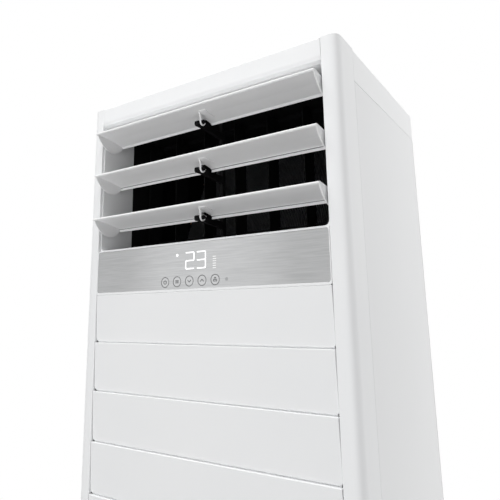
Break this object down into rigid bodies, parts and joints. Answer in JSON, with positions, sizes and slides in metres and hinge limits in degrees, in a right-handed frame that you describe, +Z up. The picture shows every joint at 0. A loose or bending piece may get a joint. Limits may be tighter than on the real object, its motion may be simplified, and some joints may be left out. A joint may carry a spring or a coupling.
{
  "type": "floor_standing_air_conditioner",
  "caption": "Tall floor standing air conditioner with tilting outlet louvers at the top, a touch key fascia with display, and a slatted plank front over the intake",
  "frame": {"origin": "on the floor, under the middle of the cabinet", "axes": "+Z up, -Y out of the front, +X to the right seen from the front"},
  "size_m": [0.59, 0.4744, 1.85],
  "materials": {
    "white_shell": "satin",
    "white_louver": "satin",
    "coated_steel": "powder coated",
    "zinc_steel": "zinc plated",
    "black_plastic": "matte",
    "black_foam": "foam",
    "brushed_silver": "brushed",
    "silver_key": "silver painted",
    "grey_plastic": "matte",
    "copper": "drawn tube",
    "fin_stock": "pressed foil",
    "rubber": "matte",
    "board": "lacquered"
  },
  "bodies": {
    "cabinet": {"base_pan": "zinc_steel", "kick_plate": "white_shell", "pillar_left": "white_shell", "pillar_right": "white_shell", "side_panel_left": "coated_steel", "side_panel_right": "coated_steel", "rear_panel": "coated_steel", "top_cover": "white_shell", "header_panel": "white_shell", "outlet_frame": "white_shell", "vane_frame": "black_plastic", "louver_support": "black_plastic", "louver_motor": "grey_plastic", "vane_motor": "grey_plastic", "evaporator_coil": "fin_stock", "coil_bends": "copper", "drain_pan": "black_plastic", "plenum_liner": "black_foam", "drain_hose": "rubber", "gas_pipe": "copper", "liquid_pipe": "copper", "pipe_bracket": "zinc_steel", "duct_partition": "zinc_steel", "blower_deck": "zinc_steel", "scroll_rear": "zinc_steel", "scroll_front": "zinc_steel", "fan_motor": "zinc_steel", "motor_bracket": "zinc_steel", "control_box": "zinc_steel", "control_box_cover": "zinc_steel", "control_board": "board", "fascia_frame": "white_shell", "fascia_plate": "brushed_silver", "display_board": "board", "upper_panel": "white_shell", "cross_rail": "zinc_steel", "pipe_grommet": "rubber", "cable_gland": "rubber", "wall_bracket": "zinc_steel"},
    "upper_louver": {"louver_1": "white_louver"},
    "middle_louver": {"louver_2": "white_louver"},
    "lower_louver": {"louver_3": "white_louver"},
    "louver_link": {"louver_link": "grey_plastic"},
    "vane_1": {"vane_1": "black_plastic"},
    "vane_2": {"vane_2": "black_plastic"},
    "vane_3": {"vane_3": "black_plastic"},
    "vane_4": {"vane_4": "black_plastic"},
    "vane_5": {"vane_5": "black_plastic"},
    "vane_6": {"vane_6": "black_plastic"},
    "vane_7": {"vane_7": "black_plastic"},
    "vane_link": {"vane_link": "black_plastic"},
    "blower_wheel": {"blower_wheel": "grey_plastic"},
    "key_power": {"key_power": "silver_key"},
    "key_mode": {"key_mode": "silver_key"},
    "key_down": {"key_down": "silver_key"},
    "key_up": {"key_up": "silver_key"},
    "key_fan": {"key_fan": "silver_key"},
    "intake_grille": {"intake_grille": "white_shell"},
    "air_filter_left": {"air_filter_left": "grey_plastic"},
    "air_filter_right": {"air_filter_right": "grey_plastic"}
  },
  "joints": [
    {"name": "upper_louver_tilt", "type": "hinge", "parent": "cabinet", "child": "upper_louver", "pos_m": [0, -0.203, 1.7645], "axis": [1, 0, 0], "range_deg": [-12, 96]},
    {"name": "middle_louver_tilt", "type": "hinge", "parent": "cabinet", "child": "middle_louver", "pos_m": [0, -0.203, 1.67], "axis": [1, 0, 0], "range_deg": [-12, 96]},
    {"name": "lower_louver_tilt", "type": "hinge", "parent": "cabinet", "child": "lower_louver", "pos_m": [0, -0.203, 1.5755], "axis": [1, 0, 0], "range_deg": [-12, 96]},
    {"name": "louver_link_swing", "type": "hinge", "parent": "upper_louver", "child": "louver_link", "pos_m": [0.269, -0.19169, 1.75319], "axis": [1, 0, 0], "range_deg": [-96, 12]},
    {"name": "vane_1_swing", "type": "hinge", "parent": "cabinet", "child": "vane_1", "pos_m": [-0.2445, -0.068, 1.67], "axis": [0, 0, 1], "range_deg": [-25, 25]},
    {"name": "vane_2_swing", "type": "hinge", "parent": "cabinet", "child": "vane_2", "pos_m": [-0.163, -0.068, 1.67], "axis": [0, 0, 1], "range_deg": [-25, 25]},
    {"name": "vane_3_swing", "type": "hinge", "parent": "cabinet", "child": "vane_3", "pos_m": [-0.0815, -0.068, 1.67], "axis": [0, 0, 1], "range_deg": [-25, 25]},
    {"name": "vane_4_swing", "type": "hinge", "parent": "cabinet", "child": "vane_4", "pos_m": [0, -0.068, 1.67], "axis": [0, 0, 1], "range_deg": [-25, 25]},
    {"name": "vane_5_swing", "type": "hinge", "parent": "cabinet", "child": "vane_5", "pos_m": [0.0815, -0.068, 1.67], "axis": [0, 0, 1], "range_deg": [-25, 25]},
    {"name": "vane_6_swing", "type": "hinge", "parent": "cabinet", "child": "vane_6", "pos_m": [0.163, -0.068, 1.67], "axis": [0, 0, 1], "range_deg": [-25, 25]},
    {"name": "vane_7_swing", "type": "hinge", "parent": "cabinet", "child": "vane_7", "pos_m": [0.2445, -0.068, 1.67], "axis": [0, 0, 1], "range_deg": [-25, 25]},
    {"name": "vane_link_swing", "type": "hinge", "parent": "vane_1", "child": "vane_link", "pos_m": [-0.2445, -0.053, 1.5635], "axis": [0, 0, 1], "range_deg": [-25, 25]},
    {"name": "blower_spin", "type": "hinge", "parent": "cabinet", "child": "blower_wheel", "pos_m": [-0.012, 0, 0.52], "axis": [0, 1, 0], "continuous": true},
    {"name": "key_power_press", "type": "slide", "parent": "cabinet", "child": "key_power", "axis": [0, 1, 0], "range_m": [0, 0.0008], "stiffness_N_per_m": 1500},
    {"name": "key_mode_press", "type": "slide", "parent": "cabinet", "child": "key_mode", "axis": [0, 1, 0], "range_m": [0, 0.0008], "stiffness_N_per_m": 1500},
    {"name": "key_down_press", "type": "slide", "parent": "cabinet", "child": "key_down", "axis": [0, 1, 0], "range_m": [0, 0.0008], "stiffness_N_per_m": 1500},
    {"name": "key_up_press", "type": "slide", "parent": "cabinet", "child": "key_up", "axis": [0, 1, 0], "range_m": [0, 0.0008], "stiffness_N_per_m": 1500},
    {"name": "key_fan_press", "type": "slide", "parent": "cabinet", "child": "key_fan", "axis": [0, 1, 0], "range_m": [0, 0.0008], "stiffness_N_per_m": 1500},
    {"name": "grille_swing", "type": "hinge", "parent": "cabinet", "child": "intake_grille", "pos_m": [0, -0.207, 0.1284], "axis": [1, 0, 0], "range_deg": [0, 30]},
    {"name": "filter_left_lift", "type": "slide", "parent": "intake_grille", "child": "air_filter_left", "axis": [0, 0, 1], "range_m": [0, 0.2]},
    {"name": "filter_right_lift", "type": "slide", "parent": "intake_grille", "child": "air_filter_right", "axis": [0, 0, 1], "range_m": [0, 0.2]}
  ],
  "couplings": [
    {"joint": "middle_louver_tilt", "follows": "upper_louver_tilt", "ratio": 1},
    {"joint": "lower_louver_tilt", "follows": "upper_louver_tilt", "ratio": 1},
    {"joint": "louver_link_swing", "follows": "upper_louver_tilt", "ratio": -1},
    {"joint": "vane_2_swing", "follows": "vane_1_swing", "ratio": 1},
    {"joint": "vane_3_swing", "follows": "vane_1_swing", "ratio": 1},
    {"joint": "vane_4_swing", "follows": "vane_1_swing", "ratio": 1},
    {"joint": "vane_5_swing", "follows": "vane_1_swing", "ratio": 1},
    {"joint": "vane_6_swing", "follows": "vane_1_swing", "ratio": 1},
    {"joint": "vane_7_swing", "follows": "vane_1_swing", "ratio": 1},
    {"joint": "vane_link_swing", "follows": "vane_1_swing", "ratio": -1}
  ]
}
